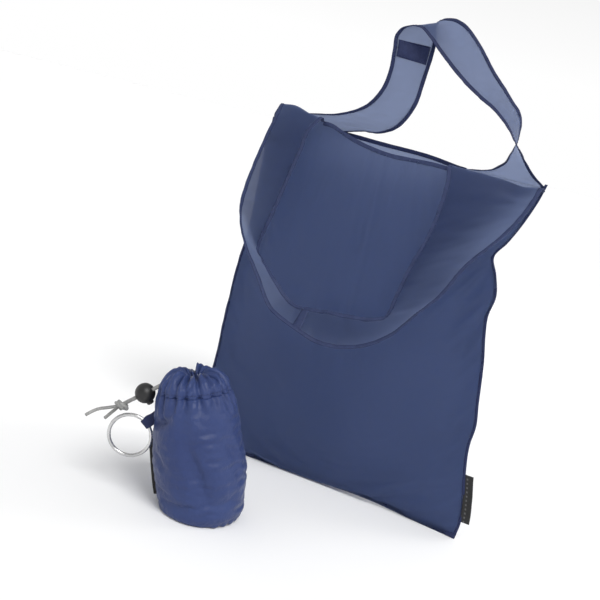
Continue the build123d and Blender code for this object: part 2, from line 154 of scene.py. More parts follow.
# ---------------------------------------------------------------- meshes
def new_object(name, vertices, faces, uvs=None):
    mesh = bpy.data.meshes.new(name)
    mesh.from_pydata([tuple(v) for v in vertices], [], [tuple(f) for f in faces])
    mesh.validate()
    if uvs is not None:
        layer = mesh.uv_layers.new(name="UVMap")
        corners = np.zeros(len(mesh.loops), int)
        mesh.loops.foreach_get("vertex_index", corners)
        layer.data.foreach_set("uv", np.asarray(uvs, float)[corners].ravel())
    mesh.polygons.foreach_set("use_smooth", [True] * len(mesh.polygons))
    piece = bpy.data.objects.new(name, mesh)
    bpy.context.scene.collection.objects.link(piece)
    return piece


def grid_faces(rows, columns, wrap=False):
    """Quads between neighbouring rows and columns. With wrap, the last column meets the first."""
    faces = []
    for i in range(rows - 1):
        for j in range(columns if wrap else columns - 1):
            k = (j + 1) % columns
            faces.append((i * columns + j, i * columns + k, (i + 1) * columns + k, (i + 1) * columns + j))
    return faces


def surface_lengths(points):
    """Lengths along the rows and columns of a grid of points, in metres, as its UVs."""
    down = np.linalg.norm(np.diff(points, axis=0), axis=2).mean(1)
    over = np.linalg.norm(np.diff(points, axis=1), axis=2).mean(0)
    v = np.concatenate([[0], np.cumsum(down)])
    u = np.concatenate([[0], np.cumsum(over)])
    return np.stack(np.meshgrid(u, v), -1).reshape(-1, 2)


def cloth_piece(name, points, thick=CLOTH, wrap=False):
    """A grid of cloth with a real thickness. With wrap, it runs right round and grows inward."""
    faces = grid_faces(*points.shape[:2], wrap=wrap)
    piece = new_object(name, points.reshape(-1, 3), faces, surface_lengths(points))
    shell = piece.modifiers.new("thickness", "SOLIDIFY")
    shell.thickness = thick
    shell.offset = -1 if wrap else 0
    return piece


def tube_piece(name, rings, close_ends=True):
    """A closed skin over a row of rings of points."""
    count, around = rings.shape[:2]
    faces = grid_faces(count, around, wrap=True)
    if close_ends:
        faces.append(list(range(around))[::-1])
        faces.append(list(range((count - 1) * around, count * around)))
    lengths = np.concatenate([[0], np.cumsum(np.linalg.norm(np.diff(rings.mean(1), axis=0), axis=1))])
    girth = np.linalg.norm(np.diff(rings, axis=1), axis=2).mean(0).sum()
    uvs = np.stack(np.meshgrid(np.linspace(0, girth, around), lengths), -1).reshape(-1, 2)
    return new_object(name, rings.reshape(-1, 3), faces, uvs)


def join(name, pieces):
    """Several pieces as one."""
    for other in bpy.context.scene.objects:
        other.select_set(False)
    for piece in pieces:
        piece.select_set(True)
    bpy.context.view_layer.objects.active = pieces[0]
    with bpy.context.temp_override(active_object=pieces[0], selected_editable_objects=pieces):
        bpy.ops.object.join()
    pieces[0].name = name
    return pieces[0]


# ---------------------------------------------------------------- materials
class Tree:
    """The nodes of a material or a world, with short ways to add one and link it."""

    def __init__(self, owner):
        owner.use_nodes = True
        self.nodes = owner.node_tree.nodes
        self.links = owner.node_tree.links

    def add(self, kind):
        return self.nodes.new("ShaderNode" + kind)

    def link(self, value, socket):
        self.links.new(value, socket)

    def noise(self, coordinate, scale, detail=3.0, roughness=0.5):
        texture = self.add("TexNoise")
        texture.inputs["Scale"].default_value = scale
        texture.inputs["Detail"].default_value = detail
        texture.inputs["Roughness"].default_value = roughness
        self.link(coordinate, texture.inputs["Vector"])
        return texture.outputs["Fac"]

    def ramp(self, value, stops):
        """A colour ramp: stops are a position, then a colour or a grey."""
        node = self.add("ValToRGB")
        elements = node.color_ramp.elements
        for position, _ in stops[1:-1]:
            elements.new(position)
        for element, (position, tone) in zip(elements, stops):
            element.position = position
            element.color = (*(tone if isinstance(tone, tuple) else (tone,) * 3), 1)
        self.link(value, node.inputs["Fac"])
        return node.outputs["Color"]

    def maths(self, operation, *values):
        node = self.add("Math")
        node.operation = operation
        for socket, value in zip(node.inputs, values):
            if isinstance(value, (int, float)):
                socket.default_value = value
            else:
                self.link(value, socket)
        return node.outputs[0]

    def axes(self, place):
        split = self.add("SeparateXYZ")
        self.link(place, split.inputs[0])
        return split.outputs

    def weave(self, uv, pitch):
        """Plain weave: warp and weft threads a pitch apart."""
        turn = math.pi / pitch
        across = self.axes(uv)
        waves = [self.maths("SINE", self.maths("MULTIPLY", across[axis], turn)) for axis in ("X", "Y")]
        return self.maths("MULTIPLY", *waves)

    def bump(self, height, strength, distance, under=None):
        node = self.add("Bump")
        node.inputs["Strength"].default_value = strength
        node.inputs["Distance"].default_value = distance
        self.link(height, node.inputs["Height"])
        if under is not None:
            self.link(under, node.inputs["Normal"])
        return node.outputs["Normal"]

    def between(self, value, low, high):
        """The value, from 0 to 1, as a number from low to high."""
        node = self.add("MapRange")
        node.inputs["To Min"].default_value = low
        node.inputs["To Max"].default_value = high
        self.link(value, node.inputs["Value"])
        return node.outputs[0]


def new_look(name):
    """A new material: itself, its nodes, its shader's inputs and its coordinates."""
    made = bpy.data.materials.new(name)
    tree = Tree(made)
    return made, tree, tree.nodes["Principled BSDF"].inputs, tree.add("TexCoord").outputs


def fabric(name, dark, light, through, crinkle, roughness=0.46, glow=0.50, cover=0.60, pitch=0.00045):
    """Thin woven nylon. through is the colour of the light that shines through it, and cover is
    the share of a straight look that its threads block."""
    made, tree, shader, place = new_look(name)
    broad = tree.noise(place["Object"], 14.0, 2.0)
    fine = tree.noise(place["Object"], 160.0, 3.0, 0.6)
    tone = tree.maths("MULTIPLY_ADD", broad, 0.8, tree.maths("MULTIPLY", fine, 0.2))
    tree.link(tree.ramp(tone, [(0.3, dark), (0.7, light)]), shader["Base Color"])
    crease = tree.noise(place["Object"], 42.0, 4.0, 0.55)
    ridged = tree.maths("ABSOLUTE", tree.maths("SUBTRACT", crease, 0.5))
    soft = tree.bump(ridged, crinkle, 0.006)
    weave = tree.bump(tree.weave(place["UV"], pitch), 0.25, 0.00012, soft)
    tree.link(weave, shader["Normal"])
    tree.link(tree.between(fine, roughness - 0.07, roughness + 0.09), shader["Roughness"])
    shader["Sheen Weight"].default_value = 0.08
    shader["Sheen Roughness"].default_value = 0.4
    shader["Specular IOR Level"].default_value = 0.32
    shader["Alpha"].default_value = cover
    behind = tree.add("BsdfTranslucent")
    behind.inputs["Color"].default_value = (*through, 1)
    tree.link(soft, behind.inputs["Normal"])
    mixed = tree.add("MixShader")
    mixed.inputs["Fac"].default_value = glow
    tree.link(tree.nodes["Principled BSDF"].outputs[0], mixed.inputs[1])
    tree.link(behind.outputs[0], mixed.inputs[2])
    tree.link(mixed.outputs[0], tree.nodes["Material Output"].inputs["Surface"])
    return made


def dense_fabric(name, dark, light, roughness=0.55, rib_pitch=0.0005):
    """A folded binding or sewing thread: several layers, so no light passes."""
    made, tree, shader, place = new_look(name)
    mottle = tree.noise(place["Object"], 220.0, 4.0, 0.6)
    tree.link(tree.ramp(mottle, [(0.3, dark), (0.72, light)]), shader["Base Color"])
    under = tree.bump(mottle, 0.25, 0.0008)
    ribs = tree.weave(place["UV"], rib_pitch)
    tree.link(tree.bump(ribs, 0.3, 0.0002, under), shader["Normal"])
    tree.link(tree.between(mottle, roughness - 0.06, roughness + 0.1), shader["Roughness"])
    shader["Sheen Weight"].default_value = 0.03
    shader["Specular IOR Level"].default_value = 0.22
    return made


def braid_material():
    made, tree, shader, place = new_look("drawcord_braid")
    fuzz = tree.noise(place["Object"], 900.0, 3.0)
    grime = tree.noise(place["Object"], 120.0, 2.0)
    tone = tree.maths("MULTIPLY", fuzz, grime)
    tree.link(tree.ramp(tone, [(0.12, 0.16), (0.4, (0.36, 0.36, 0.35))]), shader["Base Color"])
    tree.link(tree.bump(fuzz, 0.5, 0.0002), shader["Normal"])
    tree.link(tree.ramp(fuzz, [(0.2, 0.62), (0.8, 0.85)]), shader["Roughness"])
    shader["Sheen Weight"].default_value = 0.3
    return made


def plastic_material():
    made, tree, shader, place = new_look("matte_black_plastic")
    grain = tree.noise(place["Object"], 1500.0, 2.0)
    wear = tree.noise(place["Object"], 90.0, 3.0)
    shades = [(0.35, (0.008, 0.008, 0.009)), (0.75, (0.022, 0.022, 0.023))]
    tree.link(tree.ramp(wear, shades), shader["Base Color"])
    tree.link(tree.ramp(wear, [(0.3, 0.36), (0.7, 0.52)]), shader["Roughness"])
    tree.link(tree.bump(grain, 0.18, 0.0001), shader["Normal"])
    return made


def metal_material(name, dark, light, rough_low, rough_high):
    made, tree, shader, place = new_look(name)
    scratches = tree.noise(place["Object"], 700.0, 5.0, 0.7)
    patina = tree.noise(place["Object"], 60.0, 2.0)
    tree.link(tree.ramp(patina, [(0.3, dark), (0.7, light)]), shader["Base Color"])
    tree.link(tree.ramp(scratches, [(0.35, rough_low), (0.7, rough_high)]), shader["Roughness"])
    tree.link(tree.bump(scratches, 0.06, 0.0001), shader["Normal"])
    shader["Metallic"].default_value = 1.0
    return made


def label_material():
    """Black woven tape with a plain grey pattern of small blocks."""
    made, tree, shader, place = new_look("woven_label_tape")
    block_turn, stripe_middle, stripe_half = 1250.0, 0.0045, 0.0009
    across = tree.axes(place["UV"])
    step = tree.maths("SINE", tree.maths("MULTIPLY", across["Y"], block_turn))
    blocks = tree.maths("GREATER_THAN", step, 0.25)
    centred = tree.maths("ABSOLUTE", tree.maths("SUBTRACT", across["X"], stripe_middle))
    marks = tree.maths("MULTIPLY", blocks, tree.maths("LESS_THAN", centred, stripe_half))
    shades = [(0.0, (0.012, 0.012, 0.013)), (1.0, (0.09, 0.09, 0.092))]
    tree.link(tree.ramp(marks, shades), shader["Base Color"])
    tree.link(tree.bump(tree.weave(place["UV"], 0.0005), 0.5, 0.0002), shader["Normal"])
    fuzz = tree.noise(place["Object"], 600.0)
    tree.link(tree.ramp(fuzz, [(0.2, 0.6), (0.8, 0.8)]), shader["Roughness"])
    return made


TOTE_CLOTH = fabric("tote_nylon", (0.024, 0.036, 0.082), (0.034, 0.049, 0.108), (0.44, 0.52, 0.73), 0.08)
POUCH_CLOTH = fabric("pouch_nylon", (0.026, 0.044, 0.146), (0.042, 0.069, 0.199), (0.11, 0.17, 0.41), 0.62,
                     roughness=0.38, glow=0.14, cover=1.0)
BINDING = dense_fabric("folded_binding", (0.011, 0.017, 0.060), (0.021, 0.030, 0.088))
# The same folded binding painted lighter: a lit copy used on the front rim and front handle, painted light
# standing in for the light on the front of the bag.
BINDING_PAINTED_LIGHTER = dense_fabric("binding_painted_lighter", (0.022, 0.032, 0.086), (0.036, 0.050, 0.122))
THREAD_CLOTH = dense_fabric("sewing_thread", (0.016, 0.024, 0.085), (0.034, 0.048, 0.130), 0.6, 0.0003)
LABEL = label_material()
BRAID = braid_material()
PLASTIC = plastic_material()
NICKEL = metal_material("brushed_nickel", (0.46, 0.46, 0.465), (0.68, 0.68, 0.68), 0.20, 0.34)
STEEL = metal_material("spring_steel", (0.42, 0.42, 0.43), (0.60, 0.60, 0.60), 0.25, 0.4)


def finish_piece(piece, look, slot, *nodes):
    """Gives a piece its material and lets it stand for CAD nodes. The slot is not used."""
    piece.data.materials.clear()
    piece.data.materials.append(look)
    if nodes:
        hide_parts(*nodes)
    return piece


# ---------------------------------------------------------------- camera, light and floor
def make_camera():
    azimuth, elevation, roll = (math.radians(d) for d in (21.23, 12.0, 13.05))
    target = Vector((-0.0845, 0.0, 0.2141))
    distance = 1.25
    back = Vector((math.sin(azimuth) * math.cos(elevation), -math.cos(azimuth) * math.cos(elevation),
                   math.sin(elevation)))
    right = Vector((math.cos(azimuth), math.sin(azimuth), 0))
    up = back.cross(right)
    rolled_right = right * math.cos(roll) + up * math.sin(roll)
    rolled_up = up * math.cos(roll) - right * math.sin(roll)
    camera = bpy.data.objects.new("camera", bpy.data.cameras.new("camera"))
    bpy.context.scene.collection.objects.link(camera)
    camera.data.lens = 60.93
    camera.data.sensor_width = 36.0
    axes = Matrix((rolled_right, rolled_up, back)).transposed().to_4x4()
    camera.matrix_world = Matrix.Translation(target + back * distance) @ axes
    bpy.context.scene.camera = camera


def add_lamp(light, toward, place=(0, 0, 0)):
    """A light that shines along a direction."""
    lamp = bpy.data.objects.new(light.name, light)
    lamp.location = place
    lamp.rotation_mode = "QUATERNION"
    lamp.rotation_quaternion = Vector(toward).to_track_quat("-Z", "Y")
    bpy.context.scene.collection.objects.link(lamp)


def make_lights():
    """One soft light from the upper right and a weaker one behind."""
    key = bpy.data.lights.new("key", "SUN")
    key.energy = 1.9
    key.angle = math.radians(28)
    add_lamp(key, (-0.62, 0.52, -1.0))
    rim = bpy.data.lights.new("rim", "AREA")
    rim.shape = "DISK"
    rim.size = 0.9
    rim.energy = 7.0
    place, middle = Vector((1.2, 1.1, 1.2)), Vector((-0.02, -0.05, 0.25))
    add_lamp(rim, middle - place, place)


def make_room():
    """A white floor, and a room that darkens from its horizon up."""
    world = bpy.data.worlds.new("studio")
    tree = Tree(world)
    height = tree.axes(tree.add("TexCoord").outputs["Generated"])["Z"]
    sky = tree.ramp(height, [(0.05, 1.0), (0.3, 0.74), (1.0, 0.46)])
    background = tree.nodes["Background"].inputs
    tree.link(sky, background["Color"])
    background["Strength"].default_value = 1.0
    bpy.context.scene.world = world
    bpy.context.scene.view_settings.view_transform = "Standard"
    reach, white = 9.0, 0.96
    corners = [(-reach, -reach, 0), (reach, -reach, 0), (reach, reach, 0), (-reach, reach, 0)]
    floor = new_object("floor", corners, [(0, 1, 2, 3)])
    look = bpy.data.materials.new("pale_floor")
    shader = Tree(look).nodes["Principled BSDF"].inputs
    shader["Base Color"].default_value = (white, white, white, 1)
    shader["Roughness"].default_value = 0.9
    floor.data.materials.append(look)


# ---------------------------------------------------------------- stitching
def value_at(place, knots, rows):
    """Each column of some rows, at one or more places between the rows."""
    return np.array([np.interp(place, knots, rows[:, i]) for i in range(3)])


def stitch_row(line, normals, out, start=0.0):
    """Rings of small stitches along a line, lying on the side that the normals point to."""
    knots = knots_of(line)
    turn = np.linspace(0, 2 * np.pi, 6, endpoint=False)
    profile = ((0.0, 0.35, 0.75), (0.2, 0.9, 0.2), (0.8, 0.9, 0.2), (1.0, 0.35, 0.75))
    at = start
    while at + STITCH < knots[-1]:
        rings = []
        for share, girth, sink in profile:
            here = at + share * STITCH
            centre, lift = value_at(here, knots, line), value_at(here, knots, normals)
            ahead = value_at(min(here + MM, knots[-1]), knots, line)
            before = value_at(max(here - MM, 0.0), knots, line)
            side = unit(np.cross(ahead - before, lift))
            centre = centre + lift * THREAD * (0.5 - sink)
            around = np.cos(turn)[:, None] * side + np.sin(turn)[:, None] * lift
            rings.append(centre + THREAD / 2 * girth * around)
        out.append(np.array(rings))
        at += STITCH + STITCH_GAP


def stitch_piece(name, stitches):
    """All the stitches of one piece, as one mesh."""
    vertices, faces, uvs = [], [], []
    for rings in stitches:
        base = len(vertices)
        count, around = rings.shape[:2]
        vertices.extend(rings.reshape(-1, 3))
        faces.extend(tuple(base + i for i in face) for face in grid_faces(count, around, wrap=True))
        faces.append(tuple(base + i for i in range(around))[::-1])
        faces.append(tuple(base + (count - 1) * around + i for i in range(around)))
        for row in range(count):
            uvs.extend((THREAD * k, MM * row) for k in range(around))
    return new_object(name, vertices, faces, uvs)


# ---------------------------------------------------------------- drawcord
def pouch_to_world(points):
    """From the pouch's upright frame to the row frame."""
    points = np.asarray(points, float)
    c, s = math.cos(POUCH_TURN), math.sin(POUCH_TURN)
    x = POUCH_PLACE[0] + points[..., 0] * c - points[..., 1] * s
    y = POUCH_PLACE[1] + points[..., 0] * s + points[..., 1] * c
    return np.stack([x, y, points[..., 2]], -1)


def lean(points):
    """From the pouch's leaning axis to its upright frame."""
    points = np.asarray(points, float)
    c, s = math.cos(POUCH_LEAN), math.sin(POUCH_LEAN)
    u = points[..., 0] * c - points[..., 2] * s
    z = points[..., 0] * s + points[..., 2] * c
    return np.stack([u, points[..., 1], z], -1)


STRAND_START = lean((-CHANNEL_RADIUS, 0, CHANNEL_HEIGHT))
STRAND_WAY = np.array((-math.cos(CORD_DROP), 0, -math.sin(CORD_DROP)))
KNOT = STRAND_START + STRAND_WAY * KNOT_REACH
NEAR = np.array((0, -STRAND_GAP, 0))
# Each route has a point as far before the knot as its next point is after it, so that the
# strand runs straight through the cord lock.
LONG_ROUTE = [
    STRAND_START + NEAR, KNOT + NEAR - STRAND_WAY * 0.014, KNOT + NEAR,
    KNOT + (-0.013, -0.004, -0.005), KNOT + (-0.0245, -0.007, -0.008), KNOT + (-0.034, -0.009, -0.017)]
SHORT_ROUTE = [
    STRAND_START - NEAR, KNOT - NEAR - STRAND_WAY * 0.0132, KNOT - NEAR,
    KNOT + (-0.008, 0.0034, -0.0105), KNOT + (-0.0155, 0.004, -0.0205)]
LONG_STRAND = 0.0962         # each strand's length
SHORT_STRAND = 0.0827


def nurbs(name, route):
    """The smooth line that a cord follows."""
    curve = bpy.data.curves.new(name, "CURVE")
    curve.dimensions = "3D"
    curve.resolution_u = 24
    spline = curve.splines.new("NURBS")
    spline.points.add(len(route) - 1)
    for point, place in zip(spline.points, route):
        point.co = (*place, 1)
    spline.order_u = 3
    spline.use_endpoint_u = True
    return curve


def line_of(curve):
    """The points of a curve's own line."""
    holder = bpy.data.objects.new("line", curve)
    bpy.context.scene.collection.objects.link(holder)
    mesh = bpy.data.meshes.new_from_object(holder)
    line = np.array([v.co for v in mesh.vertices])
    bpy.data.objects.remove(holder)
    return line


def frames_along(line):
    """Tangents and two steady directions across a line."""
    ahead = unit(np.gradient(line, axis=0))
    side = unit(np.cross(ahead[0], (0.1, 1.0, 0.2)))
    sides = []
    for tangent in ahead:
        side = unit(side - tangent * (side @ tangent))
        sides.append(side)
    sides = np.array(sides)
    return ahead, sides, np.cross(ahead, sides)


def braided_tube(name, line, diameter, carriers=8, pitch=0.0085):
    """A round braided cord: strands that cross over and under each other in relief."""
    around = 40
    line = evenly(line, 0.00035)
    knots = knots_of(line)
    _, first, second = frames_along(line)
    turn = np.linspace(0, 2 * np.pi, around, endpoint=False)
    along, angle = np.meshgrid(knots, turn, indexing="ij")
    right_hand = carriers / 2 * angle + 2 * np.pi * along * carriers / 2 / pitch
    left_hand = carriers / 2 * angle - 2 * np.pi * along * carriers / 2 / pitch
    relief = np.maximum(np.cos(right_hand), np.cos(left_hand)) * 0.5 + 0.5 * np.sign(
        np.sin(right_hand) * np.sin(left_hand)) * np.abs(np.sin(right_hand) * np.sin(left_hand))
    radius = diameter / 2 * (0.93 + 0.07 * relief)
    end = np.minimum(knots, knots[-1] - knots)
    rounding = np.sqrt(np.clip(1 - (1 - np.clip(end / 0.0009, 0, 1)) ** 2, 0.02, 1))
    radius = radius * rounding[:, None]
    rings = line[:, None, :] + radius[..., None] * (
        np.cos(angle)[..., None] * first[:, None, :] + np.sin(angle)[..., None] * second[:, None, :])
    return tube_piece(name, rings)


def make_cords():
    """Both strands of the drawcord, from the pouch's hem to their cut ends."""
    knot = make_knot()
    strands = {"long": (LONG_ROUTE, LONG_STRAND), "short": (SHORT_ROUTE, SHORT_STRAND)}
    for name, (route, length) in strands.items():
        route = pouch_to_world(np.array(route))
        line = line_of(nurbs(name, route))
        piece = braided_tube(f"drawcord_{name}", line, CORD)
        finish_piece(piece, BRAID, "drawcord", f"drawcord_strand_{name}")
        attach(piece, "pouch")


def make_knot():
    """An overhand knot in both strands: turns of cord wrapped across them."""
    turns = 2.25
    count = 90
    share = np.linspace(0, 1, count)
    angle = 2 * np.pi * turns * share + 0.6
    wrap = 0.0046
    along = (share - 0.5) * 0.0078
    swell = 1 - 0.25 * np.abs(2 * share - 1) ** 3
    across = np.array((0, 1, 0))
    lift = np.cross(STRAND_WAY, across)
    line = (KNOT + along[:, None] * STRAND_WAY + (wrap * swell * np.cos(angle))[:, None] * across * 1.25
            + (wrap * swell * np.sin(angle))[:, None] * lift)
    line += (0.0022 * np.cos(angle + 0.8))[:, None] * STRAND_WAY
    wraps = braided_tube("knot_wraps", pouch_to_world(line), CORD)
    bight = np.array([KNOT + STRAND_WAY * 0.0055 + across * 0.004 - lift * 0.003,
                      KNOT + STRAND_WAY * 0.002 + across * 0.0055 + lift * 0.004,
                      KNOT - STRAND_WAY * 0.003 + across * 0.001 + lift * 0.0068,
                      KNOT - STRAND_WAY * 0.0055 - across * 0.0045 + lift * 0.003,
                      KNOT - STRAND_WAY * 0.002 - across * 0.006 - lift * 0.003])
    knots = knots_of(bight)
    line = smooth(bight, knots, np.linspace(0, knots[-1], 60))
    crossing = braided_tube("knot_crossing", pouch_to_world(line), CORD)
    knot = join("overhand_knot", [wraps, crossing])
    finish_piece(knot, BRAID, "drawcord", "cord_knot")
    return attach(knot, "pouch")


def make_lock_spring():
    """The coil spring behind the cord lock's button, drawn at one fixed length; on the real lock it
    shortens as the button is pressed.
    """
    wire, coil, turns = 0.0004, 0.0024, 3
    pocket_low, stem_low, travel = -0.0094, -0.0039, 0.0024
    outward = np.array((math.sin(CORD_DROP), 0, -math.cos(CORD_DROP)))
    across = np.cross(outward, STRAND_WAY)
    centre = STRAND_START + STRAND_WAY * BALL_REACH
    share = np.linspace(0, 1, 120)[:, None]
    angle = 2 * np.pi * turns * share
    room = stem_low - pocket_low
    height = pocket_low + wire + (room - 2 * wire) * share
    line = centre + outward * height + coil * (np.cos(angle) * STRAND_WAY + np.sin(angle) * across)
    _, first, second = frames_along(line)
    turn = np.linspace(0, 2 * np.pi, 12, endpoint=False)[:, None]
    rings = line[:, None] + wire * (np.cos(turn) * first[:, None] + np.sin(turn) * second[:, None])
    spring = tube_piece("lock_spring_coil", pouch_to_world(rings))
    finish_piece(spring, STEEL, "spring_steel", "cord_lock_spring")
    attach(spring, "cord_lock")
    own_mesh(spring)


# ---------------------------------------------------------------- cloth simulation
def settle(points, faces, held, limit, growth=0.012, gravity=0.2, pressure=0.0, frames=20):
    """Where a cloth comes to rest, with no point further than the limit from its start."""
    flat = points.reshape(-1, 3)
    piece = new_object("settling", flat, faces)
    group = piece.vertex_groups.new(name="held")
    group.add([int(i) for i in held], 1.0, "REPLACE")
    cloth = piece.modifiers.new("cloth", "CLOTH")
    rules = cloth.settings
    rules.quality = 6
    rules.mass = 0.15
    rules.tension_stiffness = 12.0
    rules.compression_stiffness = 12.0
    rules.shear_stiffness = 5.0
    rules.bending_stiffness = 0.05
    rules.air_damping = 2.0
    rules.vertex_group_mass = "held"
    rules.shrink_min = -growth
    rules.use_pressure = pressure > 0
    rules.uniform_pressure_force = pressure
    rules.effector_weights.gravity = gravity
    cloth.collision_settings.use_collision = False
    cloth.point_cache.frame_end = frames
    scene = bpy.context.scene
    for step in range(1, frames + 1):
        scene.frame_set(step)
    settled = piece.evaluated_get(bpy.context.evaluated_depsgraph_get()).to_mesh()
    rested = np.array([v.co for v in settled.vertices])
    scene.frame_set(1)
    bpy.data.objects.remove(piece)
    move = rested - flat
    length = np.linalg.norm(move, axis=1, keepdims=True)
    move *= np.minimum(1.0, limit / np.maximum(length, 1e-9))
    return (flat + move).reshape(points.shape)


# ---------------------------------------------------------------- strips, seams and bindings
def grid_normals(points):
    down = np.gradient(points, axis=0)
    over = np.gradient(points, axis=1)
    return unit(np.cross(over, down))


def strip_piece(name, edge, inward, normals, width, thick, seed, proud=0.0004):
    """A folded strip along an edge: flat, with round sides, and slightly puckered by its sewing."""
    around = 18
    turn = np.linspace(0, 2 * np.pi, around, endpoint=False)
    across = np.sign(np.cos(turn)) * np.abs(np.cos(turn)) ** 0.5
    through = np.sign(np.sin(turn)) * np.abs(np.sin(turn)) ** 0.5
    knots = knots_of(edge)
    pucker = ripple(seed, 7, 0.006, 0.016)(knots, 0 * knots)
    drift = ripple(seed + 1, 5, 0.008, 0.03)(knots, 0 * knots)
    half_width = width / 2 * (1 + 0.03 * drift)
    half_thick = thick / 2 * (1 + 0.20 * pucker)
    centre = edge + inward * (width / 2 - proud) + normals * (0.00016 * drift)[:, None]
    rings = (centre[:, None] + (half_width[:, None] * across)[..., None] * inward[:, None]
             + (half_thick[:, None] * through)[..., None] * normals[:, None])
    return tube_piece(name, rings)


def sew(edge, inward, normals, thick, offset, out, start=0.0):
    """A row of stitches on both faces of a strip, at a distance from its edge."""
    for face in (1, -1):
        line = edge + inward * offset + normals * (face * thick / 2 * 0.96)
        stitch_row(line, normals * face, out, start)


# ---------------------------------------------------------------- tote body
# Height, left edge, line of the side seams, and front and back crowns in y, in millimetres.
TOTE_ROWS = MM * np.array([
    (0.0, -175.0, -13.5, -1.4, 1.4),
    (30.0, -176.5, -11.0, -11.5, 10.0),
    (65.0, -178.0, -8.0, -19.0, 17.0),
    (110.0, -178.0, -5.0, -25.0, 23.0),
    (170.0, -179.0, -2.0, -29.0, 28.0),
    (230.0, -178.0, 0.0, -31.0, 30.0),
    (285.0, -173.0, 0.0, -32.0, 30.0),
    (330.0, -173.0, 0.0, -31.0, 29.0),
    (372.0, -174.0, 0.0, -29.0, 28.0),
    (424.0, -172.0, -1.0, -27.0, 27.0)])
# The right edge is pinched inward where the cloth folds: height and x.
RIGHT_EDGE = MM * np.array([
    (0.0, 177.0), (20.0, 179.0), (50.0, 175.0), (76.0, 169.0), (112.0, 164.0), (135.0, 165.0),
    (161.0, 161.0), (212.0, 153.0), (241.0, 147.0), (261.0, 144.0), (288.0, 147.0), (312.0, 140.0),
    (330.0, 133.0), (348.0, 143.0), (372.0, 154.0), (400.0, 164.0), (424.0, 170.0)])
# Height of the top edge against x.
FRONT_TOP = MM * np.array([
    (-176.0, 424.0), (-135.0, 427.0), (-112.0, 430.0), (-98.0, 432.0), (-86.0, 431.5), (-72.0, 427.0),
    (-52.0, 421.5), (-27.0, 417.0), (-2.0, 415.0), (21.0, 416.0), (45.0, 417.0), (70.0, 416.0),
    (120.0, 414.0), (175.0, 413.0)])
BACK_TOP = MM * np.array([
    (-176.0, 425.0), (-120.0, 425.0), (-84.0, 424.5), (-40.0, 423.0), (28.0, 421.5), (62.0, 418.0),
    (89.0, 417.0), (130.0, 417.0), (175.0, 417.0)])
FRONT_NECK = (-0.1005, 0.071)
BACK_NECK = (-0.084, 0.074)
BOTTOM_LIFT = 0.003          # of the bottom seam, right of its middle
LIFT_PLACE = 0.055
LIFT_SPREAD = 0.055
# Folds in the front panel: start, end, width and height of each, in x and z, in millimetres.
FRONT_FOLDS = [
    ((133, 331), (52, 280), 7, 11.0), ((134, 327), (76, 238), 6, 9.0), ((150, 288), (84, 256), 6, 7.0),
    ((144, 262), (100, 214), 6, 6.0), ((133, 334), (84, 352), 6, 7.0), ((-176, 236), (-90, 206), 9, 4.0),
    ((165, 130), (90, 108), 8, 4.0), ((170, 62), (80, 46), 9, 4.0), ((-60, 10), (-100, 84), 8, 3.6),
    ((60, 8), (36, 104), 9, 4.0), ((-176, 120), (-104, 92), 9, 3.6), ((120, 6), (134, 70), 7, 3.4),
    ((154, 210), (96, 196), 7, 4.0), ((160, 168), (110, 150), 6, 3.4)]
BACK_FOLDS = [
    ((133, 331), (52, 296), 7, 5.0), ((134, 328), (70, 240), 7, 4.0), ((-174, 300), (-86, 270), 8, 3.0),
    ((-176, 150), (-90, 118), 9, 3.0), ((166, 120), (88, 92), 9, 2.8), ((0, 8), (24, 90), 9, 2.6),
    ((-90, 8), (-70, 70), 8, 2.2), ((-84, 420), (-60, 350), 8, 2.4), ((84, 414), (72, 350), 8, 2.4)]


def edge_at(table, at, column=1):
    return smooth(table[:, column], table[:, 0], at)


def bottom_lift(x):
    """How high the bottom seam is off the floor."""
    return BOTTOM_LIFT * np.exp(-((x - LIFT_PLACE) / LIFT_SPREAD) ** 2)


def fold_height(folds, x, z):
    """The sum of soft ridges that die away from their starts."""
    total = np.zeros_like(x)
    for start, end, width, height in folds:
        start, end = np.array(start) * MM, np.array(end) * MM
        run = end - start
        share = ((x - start[0]) * run[0] + (z - start[1]) * run[1]) / (run @ run)
        along = np.clip(share, 0, 1)
        gap = np.hypot(x - start[0] - along * run[0], z - start[1] - along * run[1])
        spread = width * MM * (0.45 + 0.9 * along)
        fade = (1 - along) ** 0.7 * np.clip(1.15 - np.abs(share - along) * 3, 0, 1)
        crest = np.exp(-(gap / spread) ** 2) - 0.35 * np.exp(-(gap / spread / 2.2) ** 2)
        total += height * MM * fade * crest
    return total


def panel_points(side):
    """The front (-1) or back (+1) panel as a grid of rows from the bottom up."""
    rows, columns = 128, 110
    share = np.linspace(0, 1, columns)[None, :]
    level = np.linspace(0, 1, rows)[:, None]
    top = FRONT_TOP if side < 0 else BACK_TOP
    z = level * TOTE_HEIGHT + 0 * share
    for _ in range(3):
        left = edge_at(TOTE_ROWS, z.ravel()).reshape(z.shape)
        right = edge_at(RIGHT_EDGE, z.ravel()).reshape(z.shape)
        x = left + 0.001 + share * (right - left - 0.002)
        z = level * edge_at(top, x[-1])[None, :]
    z = z + bottom_lift(x) * (1 - level) ** 3
    seam = edge_at(TOTE_ROWS, z.ravel(), 2).reshape(z.shape)
    crown = edge_at(TOTE_ROWS, z.ravel(), 3 if side < 0 else 4).reshape(z.shape)
    bow = 4 * share * (1 - share)
    y = seam + side * 0.0003 + bow * (crown - seam)
    edge_fade = np.clip(np.minimum(share, 1 - share) * 12, 0, 1) * np.clip(level * 9, 0, 1)
    edge_fade = edge_fade * np.clip((1 - level) * 8, 0.12, 1)
    drift = ripple(11 if side < 0 else 12, 6, 0.09, 0.22)(x, z) * 0.0024
    folds = fold_height(FRONT_FOLDS if side < 0 else BACK_FOLDS, x, z)
    y = y + side * (drift + folds * np.clip(share * 14, 0, 1)) * edge_fade
    return np.stack([x, y, z], -1)


